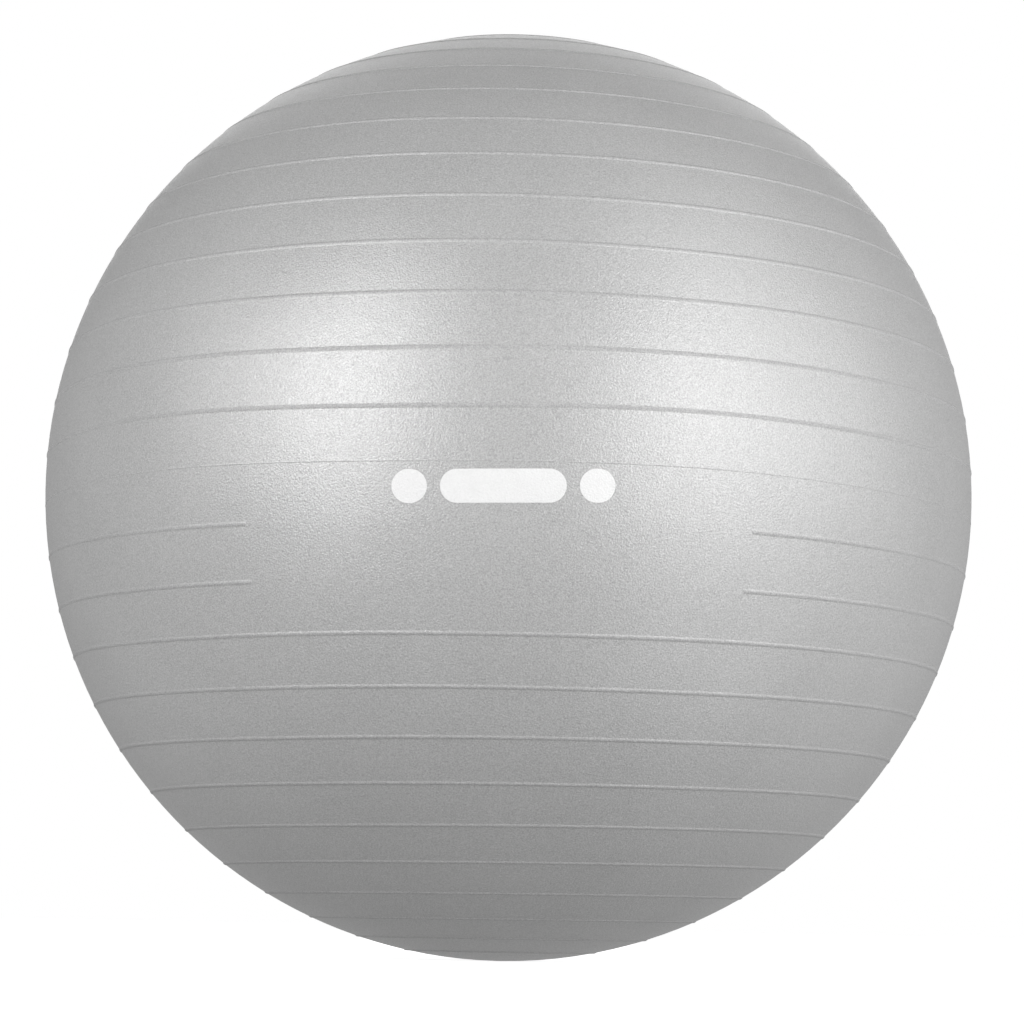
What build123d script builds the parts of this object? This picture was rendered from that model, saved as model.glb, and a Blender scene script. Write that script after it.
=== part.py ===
from build123d import *
import math
import os

# An inflatable exercise ball, in millimetres. The origin is the centre of the ball. +Z is the axis that
# the ribs circle, and it leaves the ball through the filling valve. The plain panel with the printed mark
# faces -Y. Latitudes are counted from the XY plane towards +Z, and longitudes from -Y towards +X.

# --- the skin ---
BALL_R = 325.0  # outside, between the ribs
WALL = 0.85  # stretched wall of the inflated skin
INNER_R = BALL_R - WALL

# --- a bead is (radius of its round top, height over the skin, radius of the hollow at its foot) ---
RIB = (2.4, 0.5, 0.8)
PARTING_LINE = (0.6, 0.16, 0.3)
BEAD_ROOT = 0.4  # how far an added bead reaches into the skin that it is part of

# --- ribs: beads along circles of latitude, counted up and down from the middle of the rib-free band ---
BAND_LAT = -3.2
PARTING_LAT = -2.9  # the mould's parting line runs inside this band
RIBS_PER_HALF = 12
UPPER_PITCH = 6.5  # degrees of latitude from rib to rib above the band
LOWER_PITCH = 6.26  # and below it

# --- the plain panel, which interrupts the first ribs below the parting line ---
CUT_RIBS = 2
PANEL_LON = -1.2  # longitude of its middle
PANEL_HALF = 29.8  # half its width, in degrees of longitude
CUT_ARC = 360.0 - 2 * PANEL_HALF  # how far round the ball the interrupted ribs run

# --- the printed mark: a long bar with a short bar at each end, all with round ends ---
MARK_LON = -0.6
MARK_LAT = -5.65
MARK_TURN = 1.2  # degrees from the ribs' direction
INK = 0.12  # thickness of the coat of ink
BAR_HEIGHT = 21.0
LONG_BAR = 78.0
SHORT_BAR = 22.0
BAR_GAP = 8.0

# --- the valve seat, at the +Z pole ---
COLLAR_R = 13.0  # fills the hole in the skin
FLANGE_R = 18.0  # bonded under the skin
FLANGE = 1.5
SLEEVE_R = 8.5
SLEEVE_DEPTH = 16.0  # from the top of the ball to the sleeve's inner end
BORE_R = 5.0
LEAD_IN = 0.6  # chamfer at the mouth of the bore
RECESS_R = 9.5  # the plug's head sinks into this recess
RECESS_DEPTH = 1.75
MOUTH_Z = BALL_R - RECESS_DEPTH

# --- the valve plug ---
HEAD_R = 9.1
HEAD = 1.4
HEAD_GAP = 0.05  # air under the head
HEAD_EASE = 0.4  # rounding of the head's upper rim
NOTCH_R = 1.6  # thumbnail notch in the upper rim
NOTCH_WIDTH = 6.0
SHANK_R = 3.8
BARB_R = BORE_R - 0.05
BARBS = 3
FIRST_BARB = 3.0  # depth of the first barb's shoulder under the head
BARB_PITCH = 5.0
BARB_LIP = 0.5  # length of a barb at its full radius
BARB_LENGTH = 3.2  # with its taper
TIP_LENGTH = 1.8
TIP_R = 3.0
CORE_R = 2.0  # the shank is hollow, from its tip up
CORE_ROOF = 1.5  # solid plastic between the head's underside and the hollow

UPWARD = (Align.CENTER, Align.CENTER, Align.MIN)


def place(radius, lat):
    """The point at a radius and a latitude in the XZ plane, where the outlines are drawn."""
    angle = math.radians(lat)
    return Vector(radius * math.cos(angle), 0, radius * math.sin(angle))


def toward(start, end, distance):
    """The point at a distance from start, on the way to end."""
    return start + (end - start).normalized() * distance


def half_width(bead):
    """Degrees of latitude from the middle of a bead to where its foot meets the skin."""
    top_r, height, hollow_r = bead
    middle = BALL_R + height - top_r
    outside = BALL_R + hollow_r
    reach = top_r + hollow_r
    return math.degrees(math.acos((middle**2 + outside**2 - reach**2) / (2 * middle * outside)))


def bead_side(bead, lat, side):
    """One side of a bead's outline: where it leaves the skin, the middle of the hollow, and the top's foot."""
    top_r, height, hollow_r = bead
    foot_lat = lat + side * half_width(bead)
    skin = place(BALL_R, foot_lat)
    hollow = place(BALL_R + hollow_r, foot_lat)
    foot = toward(place(BALL_R + height - top_r, lat), hollow, top_r)
    return skin, toward(hollow, (skin + foot) / 2, hollow_r), foot


def bead_outline(bead, lat):
    """A bead's outline from its upper side to its lower side: a hollow, the round top and a hollow."""
    skin_up, hollow_up, foot_up = bead_side(bead, lat, 1)
    skin_down, hollow_down, foot_down = bead_side(bead, lat, -1)
    return [
        ThreePointArc(skin_up, hollow_up, foot_up),
        ThreePointArc(foot_up, place(BALL_R + bead[1], lat), foot_down),
        ThreePointArc(foot_down, hollow_down, skin_down),
    ]


def skin_arc(radius, start, end):
    """An arc about the ball's centre from one latitude to another."""
    return ThreePointArc(place(radius, start), place(radius, (start + end) / 2), place(radius, end))


def rib_latitudes():
    """Latitudes of the ribs that run all the way round, and of those that the panel interrupts."""
    steps = range(1, RIBS_PER_HALF + 1)
    upper = [BAND_LAT + UPPER_PITCH * k for k in steps]
    lower = [BAND_LAT - LOWER_PITCH * k for k in steps]
    return upper + lower[CUT_RIBS:], lower[:CUT_RIBS]


def solid_ball(whole_ribs):
    """A solid ball with the parting line and the ribs that run all the way round."""
    beads = [(lat, RIB) for lat in whole_ribs]
    beads.append((PARTING_LAT, PARTING_LINE))
    outline = []
    skin_from = 90.0
    for lat, bead in sorted(beads, reverse=True):
        outline.append(skin_arc(BALL_R, skin_from, lat + half_width(bead)))
        outline += bead_outline(bead, lat)
        skin_from = lat - half_width(bead)
    outline.append(skin_arc(BALL_R, skin_from, -90.0))
    outline.append(Line(place(BALL_R, -90.0), place(BALL_R, 90.0)))
    return revolve(make_face(outline), axis=Axis.Z)


def cut_rib_bar(lat):
    """A rib that runs round the ball from +X through +Y and stops short of a full turn."""
    half = half_width(RIB)
    root = BALL_R - BEAD_ROOT
    section = bead_outline(RIB, lat)
    section.append(Line(place(BALL_R, lat - half), place(root, lat - half)))
    section.append(skin_arc(root, lat - half, lat + half))
    section.append(Line(place(root, lat + half), place(BALL_R, lat + half)))
    return revolve(make_face(section), axis=Axis.Z, revolution_arc=CUT_ARC)


def rib_end(lat):
    """The round end of a rib, on +X: half of the rib's section, turned about a radius of the ball."""
    top_r, height, _ = RIB
    half = half_width(RIB)
    root = BALL_R - BEAD_ROOT
    skin, hollow, foot = bead_side(RIB, lat, 1)
    crest = place(BALL_R + height, lat)
    shoulder = toward(place(BALL_R + height - top_r, lat), (foot + crest) / 2, top_r)
    section = [
        ThreePointArc(skin, hollow, foot),
        ThreePointArc(foot, shoulder, crest),
        Line(crest, place(root, lat)),
        skin_arc(root, lat, lat + half),
        Line(place(root, lat + half), skin),
    ]
    return revolve(make_face(section), axis=Axis((0, 0, 0), place(1, lat)))


def ball_shell():
    """The skin, hollow, with the hole for the valve."""
    whole_ribs, cut_ribs = rib_latitudes()
    ball = solid_ball(whole_ribs)
    # the interrupted ribs start at the panel's +X side, and longitude 0 is at -Y
    to_panel = Rot(0, 0, PANEL_LON + PANEL_HALF - 90.0)
    for lat in cut_ribs:
        ball += to_panel * cut_rib_bar(lat)
        ball += to_panel * rib_end(lat)
        ball += to_panel * Rot(0, 0, CUT_ARC) * rib_end(lat)
    hole = Pos(0, 0, INNER_R - 5) * Cylinder(COLLAR_R, 10, align=UPWARD)
    return ball - Sphere(INNER_R) - hole


def valve_seat():
    """The insert: a collar flush with the skin, a flange bonded under it, and a sleeve round the bore."""
    flange_z = INNER_R - FLANGE
    sleeve_z = BALL_R - SLEEVE_DEPTH
    collar = Pos(0, 0, flange_z) * Cylinder(COLLAR_R, 10, align=UPWARD) & Sphere(BALL_R)
    flange = Pos(0, 0, flange_z) * Cylinder(FLANGE_R, 10, align=UPWARD) & Sphere(INNER_R)
    sleeve = Pos(0, 0, sleeve_z) * Cylinder(SLEEVE_R, flange_z - sleeve_z, align=UPWARD)
    bore = Pos(0, 0, sleeve_z) * Cylinder(BORE_R, 2 * SLEEVE_DEPTH, align=UPWARD)
    recess = Pos(0, 0, MOUTH_Z) * Cylinder(RECESS_R, 10, align=UPWARD)
    lead_in = Pos(0, 0, MOUTH_Z - LEAD_IN) * Cone(BORE_R, BORE_R + LEAD_IN, LEAD_IN, align=UPWARD)
    return collar + flange + sleeve - bore - recess - lead_in


def plug_outline():
    """Half the plug's outline as (radius, depth under the head) points, from the head's centre to the tip."""
    points = [(0, -HEAD), (HEAD_R, -HEAD), (HEAD_R, 0), (SHANK_R, 0)]
    for k in range(BARBS):
        shoulder = FIRST_BARB + k * BARB_PITCH
        points += [(SHANK_R, shoulder), (BARB_R, shoulder), (BARB_R, shoulder + BARB_LIP)]
        points.append((SHANK_R, shoulder + BARB_LENGTH))
    tip = FIRST_BARB + (BARBS - 1) * BARB_PITCH + BARB_LENGTH + TIP_LENGTH
    points += [(TIP_R, tip), (CORE_R, tip), (CORE_R, CORE_ROOF), (0, CORE_ROOF)]
    return points


def valve_plug():
    """The stopper: a thin round head with a notch in its rim, on a hollow shank with barbs."""
    underside = MOUTH_Z + HEAD_GAP
    outline = Polyline([(r, 0, underside - depth) for r, depth in plug_outline()], close=True)
    plug = revolve(make_face(outline), axis=Axis.Z)
    head_top = underside + HEAD
    rim = [edge for edge in plug.edges().filter_by(GeomType.CIRCLE) if abs(edge.center().Z - head_top) < 0.01]
    notch = Pos(HEAD_R, 0, head_top) * Rot(90, 0, 0) * Cylinder(NOTCH_R, NOTCH_WIDTH)
    return fillet(rim, HEAD_EASE) - notch


def printed_mark():
    """The ink on the panel: bars cut straight through a thin spherical layer, then turned into place."""
    film = Sphere(BALL_R + INK) - Sphere(BALL_R)
    bars = SlotOverall(LONG_BAR, BAR_HEIGHT)
    for side in (-1, 1):
        bars += Pos(side * (LONG_BAR / 2 + BAR_GAP + SHORT_BAR / 2), 0) * SlotOverall(SHORT_BAR, BAR_HEIGHT)
    facing = Plane(origin=(0, -BALL_R / 2, 0), x_dir=(1, 0, 0), z_dir=(0, -1, 0)) * Rot(0, 0, MARK_TURN)
    mark = extrude(facing * bars, BALL_R) & film
    return Rot(0, 0, MARK_LON) * Rot(-MARK_LAT, 0, 0) * mark


PARTS = {
    "ball_shell": ball_shell,
    "valve_seat": valve_seat,
    "valve_plug": valve_plug,
    "printed_mark": printed_mark,
}

os.makedirs("parts", exist_ok=True)
for node, make in PARTS.items():
    export_step(make(), f"parts/{node}.step")
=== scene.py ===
import math

import bpy
import numpy as np
from mathutils import Matrix, Vector


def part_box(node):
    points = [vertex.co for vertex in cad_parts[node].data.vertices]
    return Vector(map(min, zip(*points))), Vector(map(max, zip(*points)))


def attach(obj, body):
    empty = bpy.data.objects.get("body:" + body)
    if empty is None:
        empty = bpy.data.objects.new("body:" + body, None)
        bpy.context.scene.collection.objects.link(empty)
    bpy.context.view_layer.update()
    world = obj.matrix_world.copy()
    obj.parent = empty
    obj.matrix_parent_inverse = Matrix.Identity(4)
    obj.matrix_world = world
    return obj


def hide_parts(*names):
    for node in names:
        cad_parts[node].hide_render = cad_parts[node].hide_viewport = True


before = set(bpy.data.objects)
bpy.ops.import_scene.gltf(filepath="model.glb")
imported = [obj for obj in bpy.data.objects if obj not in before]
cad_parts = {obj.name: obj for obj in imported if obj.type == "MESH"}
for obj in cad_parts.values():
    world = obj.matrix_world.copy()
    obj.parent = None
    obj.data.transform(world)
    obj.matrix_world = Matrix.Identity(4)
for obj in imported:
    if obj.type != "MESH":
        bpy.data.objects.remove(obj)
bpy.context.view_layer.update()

# --- sizes, in metres and degrees, as the CAD model has them ---

MM = 0.001
BALL_R = -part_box("ball_shell")[0][2]
WALL = 0.85 * MM
SEAT_FLANGE = 5.0 * MM  # how far the valve seat's flange stands out from its collar
HOLE_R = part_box("valve_seat")[1][0] - SEAT_FLANGE  # the collar fills the hole in the skin
DEGREE = BALL_R * math.pi / 180  # length of a degree along the skin

# a bead is (radius of its round top, height over the skin, radius of the hollow at its foot)
RIB = (2.4 * MM, 0.5 * MM, 0.8 * MM)
PARTING_LINE = (0.6 * MM, 0.16 * MM, 0.3 * MM)
BAND_LAT = -3.2  # ribs are counted up and down from here
PARTING_LAT = -2.9
RIBS_PER_HALF = 12
UPPER_PITCH = 6.5
LOWER_PITCH = 6.26
CUT_RIBS = 2  # ribs below the band that stop at the panel for the mark
PANEL_LON = -1.2
PANEL_HALF = 29.8

# --- the skin's shape ---

COLUMN_STEP = 1.8
END_COLUMNS = 6  # extra columns each side of the end of an interrupted rib
END_SPREAD = 1.1  # how far they reach, in half widths of the rib
INNER_ROWS = 20
SKIRT = 0.4 * MM  # strip of plain skin beside a bead or the hole, which keeps its shading to itself
WIDEST_GAP = 3.0  # degrees between rows, beyond which plain skin gets rows of its own
PLAIN_ROW_STEP = 2.0
LOWEST_ROW = -89.5
WAVER = 0.08  # degrees that a rib wanders from its latitude
SLANT = 0.55  # degrees that the ribs near 50 degrees slant, so that they close up towards +X
CLOSE = 0.15  # degrees that the same ribs lie nearer to the band than even spacing puts them
BOW = 0.18  # degrees that the ribs just over the band bow up and down, BOWS times round the ball
BOWS = 5
BOW_START = 0.94  # radians
BOW_LAT, BOW_REACH = 5.0, 12.0
SAG = 0.28  # degrees that the second interrupted rib lies lower than even spacing puts it
SAG_REACH = 3.0
UNEVEN = 0.12  # part of a rib's height that comes and goes along it
CREST = "crest"  # how far up a bead each point of the skin is, from 0 to 1


def bead_feet(bead):
    """Distances from a bead's middle to where its round top ends and to where its hollow ends."""
    top_r, height, hollow_r = bead
    rise = hollow_r - height + top_r
    reach = math.sqrt((top_r + hollow_r) ** 2 - rise ** 2)
    return reach * top_r / (top_r + hollow_r), reach


def bead_height(distance, bead):
    """Height over the skin at each distance from the middle of a bead."""
    top_r, height, hollow_r = bead
    foot, reach = bead_feet(bead)
    away = np.abs(distance)
    top = height - top_r + np.sqrt(np.maximum(top_r ** 2 - np.minimum(away, foot) ** 2, 0))
    hollow = hollow_r - np.sqrt(np.maximum(hollow_r ** 2 - (reach - np.clip(away, foot, reach)) ** 2, 0))
    return np.where(away < foot, top, hollow)


def rib_latitudes():
    """Latitudes of the ribs that run all round, and of those that the panel interrupts."""
    steps = range(1, RIBS_PER_HALF + 1)
    upper = [BAND_LAT + UPPER_PITCH * k for k in steps]
    lower = [BAND_LAT - LOWER_PITCH * k for k in steps]
    return upper + lower[CUT_RIBS:], lower[:CUT_RIBS]


def bead_rows(lat, bead):
    """Latitudes of the mesh rows that give a bead its shape."""
    foot, reach = bead_feet(bead)
    steps = [0, 0.4 * foot, 0.8 * foot, (foot + reach) / 2, reach, reach + SKIRT]
    return [lat + side * step / DEGREE for step in steps for side in (1, -1)]


def skin_rows():
    """Latitudes of the mesh rows, from the valve's hole down."""
    whole, cut = rib_latitudes()
    hole = 90 - math.degrees(math.asin(HOLE_R / BALL_R))
    rows = {hole, hole - SKIRT / DEGREE, LOWEST_ROW}
    for lat, bead in [(lat, RIB) for lat in whole + cut] + [(PARTING_LAT, PARTING_LINE)]:
        rows |= {round(row, 9) for row in bead_rows(lat, bead)}
    edges = sorted(rows)
    for low, high in zip(edges[:-1], edges[1:]):
        if high - low > WIDEST_GAP:
            count = max(3, round((high - low) / PLAIN_ROW_STEP))
            rows |= {low + (high - low) * k / count for k in range(1, count)}
    return np.array(sorted(rows, reverse=True))


def skin_columns():
    """Longitudes of the mesh columns, closer together at the ends of the interrupted ribs."""
    _, reach = bead_feet(RIB)
    columns = set(np.round(np.arange(0, 360, COLUMN_STEP), 6))
    for side in (-1, 1):
        end = PANEL_LON + side * PANEL_HALF
        for k in range(-END_COLUMNS, END_COLUMNS + 1):
            columns.add(round((end + k / END_COLUMNS * END_SPREAD * reach / DEGREE) % 360, 6))
    return np.array(sorted(columns))


def slow_wave(lat, lon, turns):
    """A smooth value from -1 to 1 that wanders with longitude, and differs from rib to rib."""
    lat, lon = np.radians(lat), np.radians(lon)
    return sum(np.sin(n * (lon + 1.3 + 9.0 * lat)) for n in turns) / len(turns)


def stray(lat, lon):
    """Degrees that the stretched skin's ribs lie away from their latitudes."""
    up, round_it = np.radians(lat), np.radians(lon)
    share = np.sin(up) ** 3 * np.cos(up) ** 2 / 0.186  # 1 at its greatest, near 50 degrees up
    slant = (SLANT * np.sin(round_it) + CLOSE) * share
    bow = BOW * np.cos(BOWS * round_it + BOW_START) * np.exp(-((lat - BOW_LAT) / BOW_REACH) ** 2)
    second_rib = BAND_LAT - 2 * LOWER_PITCH
    sag = SAG * np.exp(-((lat - second_rib) / SAG_REACH) ** 2)
    return WAVER * np.cos(up) ** 2 * slow_wave(lat, lon, (2, 3, 7)) - slant - bow - sag


def skin_heights(lat, lon):
    """How far the ribs and the parting line stand over the skin."""
    whole, cut = rib_latitudes()
    ribs = np.zeros(lat.shape)
    for rib in whole:
        ribs += bead_height((lat - rib) * DEGREE, RIB)
    from_panel = np.abs((lon - PANEL_LON + 180) % 360 - 180)
    for rib in cut:
        beyond = np.maximum(PANEL_HALF - from_panel, 0) * np.cos(np.radians(rib))
        ribs += bead_height(np.hypot(lat - rib, beyond) * DEGREE, RIB)
    ribs *= 1 - UNEVEN / 2 + UNEVEN / 2 * slow_wave(lat, lon, (5, 8, 13))
    return ribs + bead_height((lat - PARTING_LAT) * DEGREE, PARTING_LINE)


def on_ball(lat, lon, radius):
    """Points at latitudes and longitudes, which are counted from -Y towards +X."""
    lat, lon = np.radians(lat), np.radians(lon)
    return np.stack([radius * np.cos(lat) * np.sin(lon), -radius * np.cos(lat) * np.cos(lon),
                     radius * np.sin(lat)], -1)


def new_object(name, points, faces, material):
    """A smooth-shaded mesh object in the scene."""
    mesh = bpy.data.meshes.new(name)
    mesh.from_pydata([tuple(p) for p in points], [], faces)
    mesh.validate()
    mesh.shade_smooth()
    mesh.materials.append(material)
    obj = bpy.data.objects.new(name, mesh)
    bpy.context.scene.collection.objects.link(obj)
    return obj


def grid_faces(first, rows, columns, inward):
    """Quads of a grid that closes on itself sideways, whose rows go downwards."""
    faces = []
    for r in range(rows - 1):
        for c in range(columns):
            a, b = first + r * columns + c, first + r * columns + (c + 1) % columns
            face = (a, a + columns, b + columns, b)
            faces.append(face[::-1] if inward else face)
    return faces


def make_skin(material):
    """A closed thin shell with a round hole for the valve at the top."""
    rows, columns = skin_rows(), skin_columns()
    lat, lon = np.meshgrid(rows, columns, indexing="ij")
    heights = skin_heights(lat, lon)
    outer = on_ball(lat + stray(lat, lon), lon, BALL_R + heights).reshape(-1, 3)
    lat, lon = np.meshgrid(np.linspace(rows[0], rows[-1], INNER_ROWS), columns, indexing="ij")
    inner = on_ball(lat, lon, BALL_R - WALL).reshape(-1, 3)
    points = np.vstack([outer, inner, [[0, 0, -BALL_R]], [[0, 0, WALL - BALL_R]]])
    outer_pole, inner_pole = len(points) - 2, len(points) - 1

    crest = np.zeros(len(points))
    crest[:len(outer)] = np.minimum(heights.ravel() / RIB[1], 1)
    n = len(columns)
    faces = grid_faces(0, len(rows), n, False) + grid_faces(len(outer), INNER_ROWS, n, True)
    last_outer, last_inner = len(outer) - n, outer_pole - n
    for c in range(n):
        d = (c + 1) % n
        faces.append((len(outer) + c, c, d, len(outer) + d))
        faces.append((last_outer + c, outer_pole, last_outer + d))
        faces.append((last_inner + c, last_inner + d, inner_pole))
    skin = new_object("skin", points, faces, material)
    skin.data.attributes.new(CREST, "FLOAT", "POINT").data.foreach_set("value", crest)
    return skin


# --- materials ---


NOISE_RANGE = (0.3, 0.7)  # where nearly all of a noise's values lie


class Finish:
    """A Principled material whose noise is measured in the object's own space."""

    def __init__(self, name):
        self.material = bpy.data.materials.new(name)
        self.material.use_nodes = True
        self.tree = self.material.node_tree
        self.shader = next(n for n in self.tree.nodes if n.type == "BSDF_PRINCIPLED")
        self.where = self.tree.nodes.new("ShaderNodeTexCoord").outputs["Object"]

    def set(self, **values):
        """Values that are the same all over the surface, on the shader's own sockets."""
        for socket, value in values.items():
            self.shader.inputs[socket.replace("_", " ")].default_value = value

    def noise(self, size, detail=2.0):
        """Noise whose blotches are about this size."""
        node = self.tree.nodes.new("ShaderNodeTexNoise")
        node.inputs["Scale"].default_value = 1 / size
        node.inputs["Detail"].default_value = detail
        self.tree.links.new(self.where, node.inputs["Vector"])
        return node.outputs["Fac"]

    def mottle(self, size, low, high):
        """Noise of this size, its range stretched over low to high."""
        noise = self.noise(size)
        node = self.tree.nodes.new("ShaderNodeMapRange")
        node.inputs["From Min"].default_value = NOISE_RANGE[0]
        node.inputs["From Max"].default_value = NOISE_RANGE[1]
        node.inputs["To Min"].default_value = low
        node.inputs["To Max"].default_value = high
        self.tree.links.new(noise, node.inputs["Value"])
        return node.outputs["Result"]

    def attribute(self, name):
        """A value that the mesh has at each of its points."""
        node = self.tree.nodes.new("ShaderNodeAttribute")
        node.attribute_name = name
        return node.outputs["Fac"]

    def add(self, a, b):
        node = self.tree.nodes.new("ShaderNodeMath")
        self.tree.links.new(a, node.inputs[0])
        self.tree.links.new(b, node.inputs[1])
        return node.outputs["Value"]

    def times(self, value, factor):
        node = self.tree.nodes.new("ShaderNodeMath")
        node.operation = "MULTIPLY"
        node.inputs[1].default_value = factor
        self.tree.links.new(value, node.inputs[0])
        return node.outputs["Value"]

    def colour(self, value, tint=(1.0, 1.0, 1.0)):
        """A shade from 0 to 1, in the given tint."""
        node = self.tree.nodes.new("ShaderNodeCombineColor")
        for channel, part in zip(("Red", "Green", "Blue"), tint):
            self.tree.links.new(self.times(value, part), node.inputs[channel])
        self.tree.links.new(node.outputs["Color"], self.shader.inputs["Base Color"])

    def roughness(self, value):
        """How matt the surface is, from 0 to 1."""
        self.tree.links.new(value, self.shader.inputs["Roughness"])

    def bump(self, *layers):
        """Layers of (noise, depth), the later ones on top of the earlier."""
        normal = None
        for height, depth in layers:
            node = self.tree.nodes.new("ShaderNodeBump")
            node.inputs["Distance"].default_value = depth
            self.tree.links.new(height, node.inputs["Height"])
            if normal is not None:
                self.tree.links.new(normal, node.inputs["Normal"])
            normal = node.outputs["Normal"]
        self.tree.links.new(normal, self.shader.inputs["Normal"])


SKIN_SHADE = (0.392, 0.408)
SKIN_CLOUDS = 70 * MM
FLECK = 0.07  # how far the silver flecks stray from the shade
FLECK_SIZE = 1.0 * MM
SKIN_ROUGH = (0.31, 0.45)
CREST_ROUGH = 0.30  # added roughness of the ribs' crests, which rub on the floor painted shade: the crests are made darker all round, standing in for the dark bands that the ribs show in the highlights
CREST_PAINTED_SHADE = -0.04  # and the dirt that they have taken up
GRAIN = ((1.2 * MM, 0.32 * MM), (0.7 * MM, 0.08 * MM))  # (size, depth) of each layer


def skin_finish():
    """Silvery matt PVC with a fine moulded grain."""
    pvc = Finish("skin_pvc")
    pvc.set(Metallic=0.3, IOR=1.42, Specular_Tint=(0.4, 0.4, 0.4, 1.0))
    clouds = pvc.mottle(SKIN_CLOUDS, *SKIN_SHADE)
    flecks = pvc.mottle(FLECK_SIZE, -FLECK, FLECK)
    crest = pvc.attribute(CREST)
    # painted shade: the skin's grey is darkened up the ribs' crests by the crest attribute
    pvc.colour(pvc.add(pvc.add(clouds, flecks), pvc.times(crest, CREST_PAINTED_SHADE)))
    sheen = pvc.mottle(1.3 * MM, *SKIN_ROUGH)
    pvc.roughness(pvc.add(sheen, pvc.times(crest, CREST_ROUGH)))
    pvc.bump(*[(pvc.noise(size), depth) for size, depth in GRAIN])
    return pvc.material


INK_SHADE = (0.62, 0.64)
INK_ROUGH = (0.42, 0.55)
INK_GRAIN = 0.6  # part of the skin's grain that shows through


def ink_finish():
    """White ink, thin enough to show the grain and a little of the grey."""
    ink = Finish("mark_ink")
    ink.colour(ink.add(ink.mottle(9 * MM, *INK_SHADE), ink.mottle(1.1 * MM, -0.02, 0.02)))
    ink.roughness(ink.mottle(2.0 * MM, *INK_ROUGH))
    ink.bump(*[(ink.noise(size), INK_GRAIN * depth) for size, depth in GRAIN])
    return ink.material


SEAT_SHADE = (0.33, 0.36)
SEAT_ROUGH = (0.34, 0.44)
SEAT_GRAIN = ((0.7 * MM, 0.012 * MM), (4 * MM, 0.03 * MM))


def seat_finish():
    """The valve's collar, of the ball's own PVC but smoother and a little darker."""
    pvc = Finish("seat_pvc")
    pvc.set(Metallic=0.15)
    pvc.colour(pvc.add(pvc.mottle(6 * MM, *SEAT_SHADE), pvc.mottle(0.5 * MM, -0.01, 0.01)))
    pvc.roughness(pvc.mottle(1.5 * MM, *SEAT_ROUGH))
    pvc.bump(*[(pvc.noise(size), depth) for size, depth in SEAT_GRAIN])
    return pvc.material


PLUG_SHADE = (0.78, 0.82)
PLUG_ROUGH = (0.30, 0.42)
PLUG_GRAIN = ((0.6 * MM, 0.008 * MM), (3 * MM, 0.02 * MM))


def plug_finish():
    """White moulded plug."""
    plug = Finish("plug_plastic")
    plug.set(Subsurface_Weight=0.08)
    plug.colour(plug.add(plug.mottle(5 * MM, *PLUG_SHADE), plug.mottle(0.6 * MM, -0.012, 0.012)))
    plug.roughness(plug.mottle(1.2 * MM, *PLUG_ROUGH))
    plug.bump(*[(plug.noise(size), depth) for size, depth in PLUG_GRAIN])
    return plug.material


def finish_node(node, material):
    """A CAD node keeps its shape and gets a material."""
    for slot in bpy.data.objects[node].material_slots:
        slot.material = material


skin = make_skin(skin_finish())
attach(skin, "ball")
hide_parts("ball_shell")
finish_node("printed_mark", ink_finish())
finish_node("valve_seat", seat_finish())
finish_node("valve_plug", plug_finish())

# --- floor, lights and camera ---

FLOOR_HALF = 12.0
FLOOR_GLOW = 0.75  # keeps the far floor as pale as the near
FLOOR_SHADE = (0.88, 0.90)
FLOOR_ROUGH = (0.85, 0.95)


def make_floor():
    """A pale floor under the ball, which only the camera sees. Its bounce is in the world's light."""
    paint = Finish("floor_paint")
    paint.set(Emission_Color=(1, 1, 1, 1), Emission_Strength=FLOOR_GLOW)
    paint.colour(paint.mottle(0.4, *FLOOR_SHADE))
    paint.roughness(paint.mottle(0.1, *FLOOR_ROUGH))
    s = FLOOR_HALF
    corners = [(-s, -s, -BALL_R), (s, -s, -BALL_R), (s, s, -BALL_R), (-s, s, -BALL_R)]
    floor = new_object("floor", corners, [(0, 1, 2, 3)], paint.material)
    floor.visible_diffuse = False
    floor.visible_glossy = False
    floor.visible_transmission = False
    floor.visible_shadow = False


# light from all round, by the height that it comes from: straight down is -1 and straight up is 1
WORLD_LIGHT = ((-1.0, 0.35), (-0.35, 0.71), (0.0, 0.465), (0.35, 0.42), (1.0, 0.135))
BACKDROP = 1.0


def make_world():
    """A plain bright backdrop for the camera, and the graded light for everything else."""
    world = bpy.data.worlds.new("studio")
    bpy.context.scene.world = world
    world.use_nodes = True
    tree = world.node_tree
    tree.nodes.clear()
    link = tree.links.new
    split = tree.nodes.new("ShaderNodeSeparateXYZ")
    link(tree.nodes.new("ShaderNodeTexCoord").outputs["Generated"], split.inputs[0])
    place = tree.nodes.new("ShaderNodeMapRange")
    place.inputs["From Min"].default_value = -1
    link(split.outputs["Z"], place.inputs["Value"])
    ramp = tree.nodes.new("ShaderNodeValToRGB")
    link(place.outputs["Result"], ramp.inputs["Fac"])
    stops = ramp.color_ramp.elements
    while len(stops) < len(WORLD_LIGHT):
        stops.new(0.5)
    for stop, (height, level) in zip(stops, WORLD_LIGHT):
        stop.position = (height + 1) / 2
        stop.color = (level, level, level, 1)
    around = tree.nodes.new("ShaderNodeBackground")
    link(ramp.outputs["Color"], around.inputs["Color"])
    seen = tree.nodes.new("ShaderNodeBackground")
    seen.inputs["Color"].default_value = (BACKDROP, BACKDROP, BACKDROP, 1)
    path = tree.nodes.new("ShaderNodeLightPath")
    mix = tree.nodes.new("ShaderNodeMixShader")
    link(path.outputs["Is Camera Ray"], mix.inputs["Fac"])
    link(around.outputs[0], mix.inputs[1])
    link(seen.outputs[0], mix.inputs[2])
    link(mix.outputs[0], tree.nodes.new("ShaderNodeOutputWorld").inputs["Surface"])


LIGHT_DISTANCE = 2.0
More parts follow.
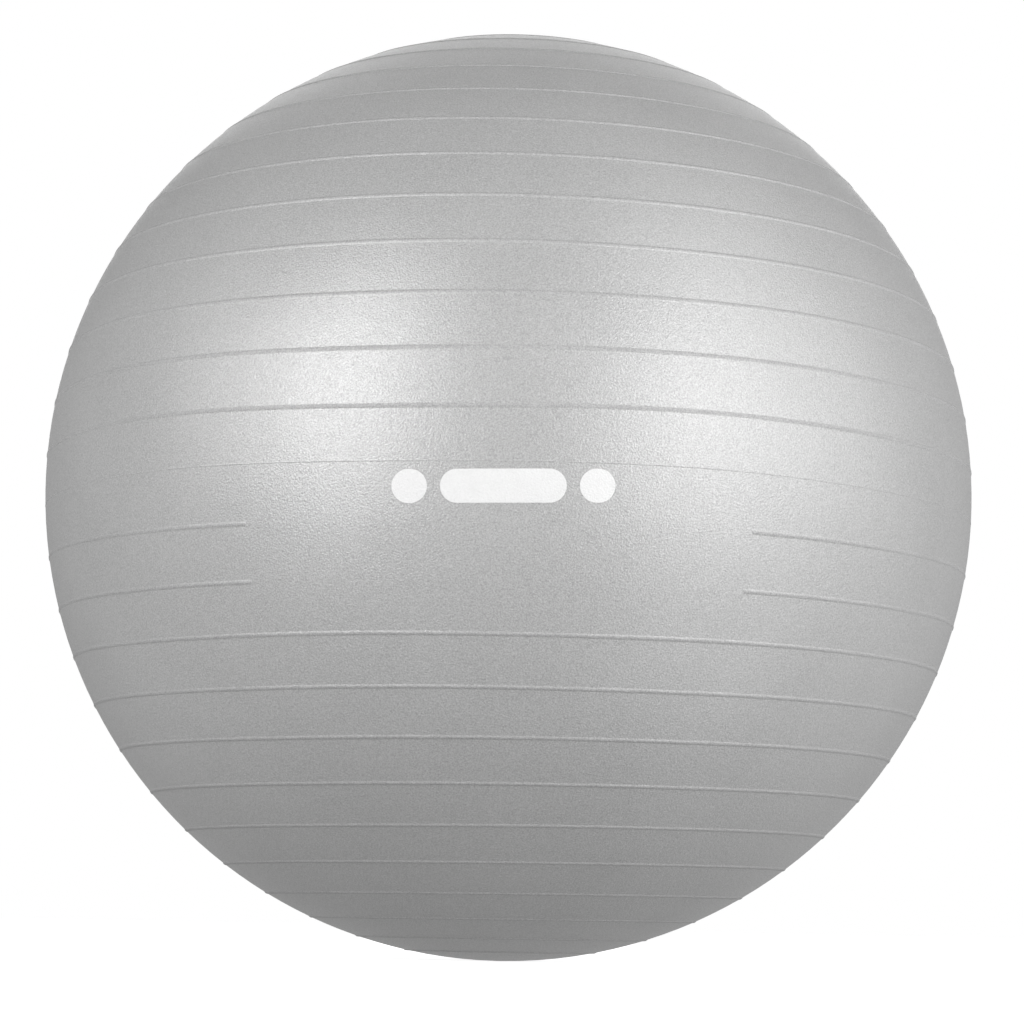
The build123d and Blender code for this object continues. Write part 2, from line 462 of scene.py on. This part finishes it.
# (name, azimuth, elevation, width, height, watts): azimuth 0 is the camera's side, and positive is
# to its right. right_low stands under the floor, which lets its light through.
SOFTBOXES = (
    ("left_key", -36, 16, 0.6, 1.6, 24.2),
    ("left_edge", -64, 18, 0.6, 1.0, 5.5),
    ("right_key", 38, 12, 0.85, 1.4, 17.4),
    ("right_side", 68, 14, 1.5, 1.6, 14.5),
    ("right_high", 56, 48, 1.4, 1.0, 5.3),
    ("right_low", 55, -28, 1.4, 1.4, 4.9),
    ("back_fill", 180, 30, 1.6, 1.6, 12.0),
)


def softbox(name, azimuth, elevation, width, height, watts):
    """An area light that faces the ball."""
    az, el = math.radians(azimuth), math.radians(elevation)
    light = bpy.data.lights.new(name, "AREA")
    light.shape = "RECTANGLE"
    light.size, light.size_y = width, height
    light.energy = watts
    obj = bpy.data.objects.new(name, light)
    bpy.context.scene.collection.objects.link(obj)
    way = Vector((math.sin(az) * math.cos(el), -math.cos(az) * math.cos(el), math.sin(el)))
    obj.location = way * LIGHT_DISTANCE
    obj.rotation_euler = way.to_track_quat("Z", "Y").to_euler()


CAMERA_DISTANCE = 7.5 * BALL_R
CAMERA_ELEVATION = -7.0
CAMERA_ROLL = 1.2
FOCAL_PIXELS = 3442.4
PIXELS_WIDE = 1024
AIM_RIGHT, AIM_DOWN = 3.45, 9.31  # pixels from the ball's centre to the middle of the picture


def make_camera():
    """The photograph's camera: a little under the ball's middle, and rolled a little."""
    data = bpy.data.cameras.new("camera")
    data.lens = FOCAL_PIXELS / PIXELS_WIDE * data.sensor_width
    data.clip_end = 100
    camera = bpy.data.objects.new("camera", data)
    bpy.context.scene.collection.objects.link(camera)
    elevation, roll = math.radians(CAMERA_ELEVATION), math.radians(CAMERA_ROLL)
    place = Vector((0, -math.cos(elevation), math.sin(elevation))) * CAMERA_DISTANCE
    level = Vector((1, 0, 0))
    upright = level.cross(-place.normalized())
    right = level * math.cos(roll) + upright * math.sin(roll)
    up = upright * math.cos(roll) - level * math.sin(roll)
    aim = (right * AIM_RIGHT - up * AIM_DOWN) * CAMERA_DISTANCE / FOCAL_PIXELS
    forward = (aim - place).normalized()
    right = forward.cross(up).normalized()
    up = right.cross(forward)
    turn = Matrix((right, up, -forward)).transposed().to_4x4()
    camera.matrix_world = Matrix.Translation(place) @ turn
    bpy.context.scene.camera = camera


make_floor()
make_world()
for box in SOFTBOXES:
    softbox(*box)
make_camera()
bpy.context.scene.view_settings.view_transform = "Standard"
